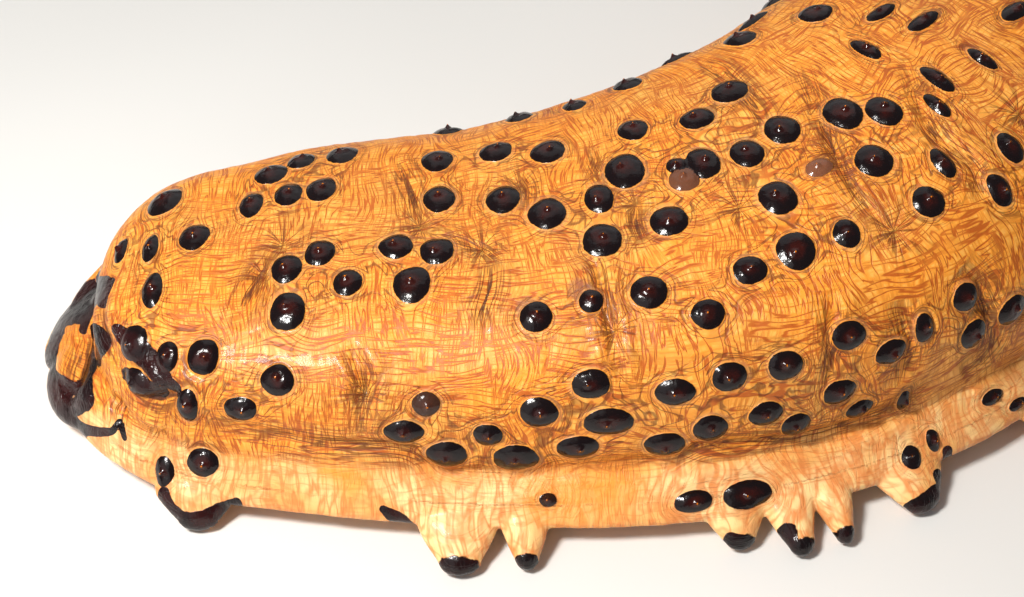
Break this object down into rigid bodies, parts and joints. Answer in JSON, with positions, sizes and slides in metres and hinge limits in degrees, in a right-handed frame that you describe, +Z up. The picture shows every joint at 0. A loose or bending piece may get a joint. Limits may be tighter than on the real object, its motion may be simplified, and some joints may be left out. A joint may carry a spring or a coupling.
{
  "type": "sea cucumber",
  "caption": "Still, life-size sea cucumber resting on a floor: arched warty back, scalloped skirt of papillae, lobed collar round the mouth, flat sole with tube feet.",
  "frame": {"origin": "middle of the bounding box, on the floor that the animal rests on", "axes": "+X from the head end towards the tail, along the longest side of the box; +Z up; the tail bends towards +Y"},
  "size_m": [0.2625, 0.1908, 0.0487],
  "materials": {
    "body_skin": "wet orange-tan skin with fine wrinkles and glossy near-black brown warts",
    "collar_skin": "wet near-black lobes with orange middles",
    "tentacle_skin": "wet dark brown folded discs",
    "vent_skin": "wet puckered brown-orange skin",
    "sole_skin": "pale flesh with bands of tube feet"
  },
  "bodies": {
    "root": {"mouth_collar": "collar_skin", "mouth_tentacles": "tentacle_skin", "head_end": "body_skin", "front_body": "body_skin", "mid_body": "body_skin", "rear_body": "body_skin", "tail_end": "body_skin", "vent_rim": "vent_skin", "sole_front": "sole_skin", "sole_mid": "sole_skin", "sole_rear": "sole_skin"}
  },
  "joints": []
}
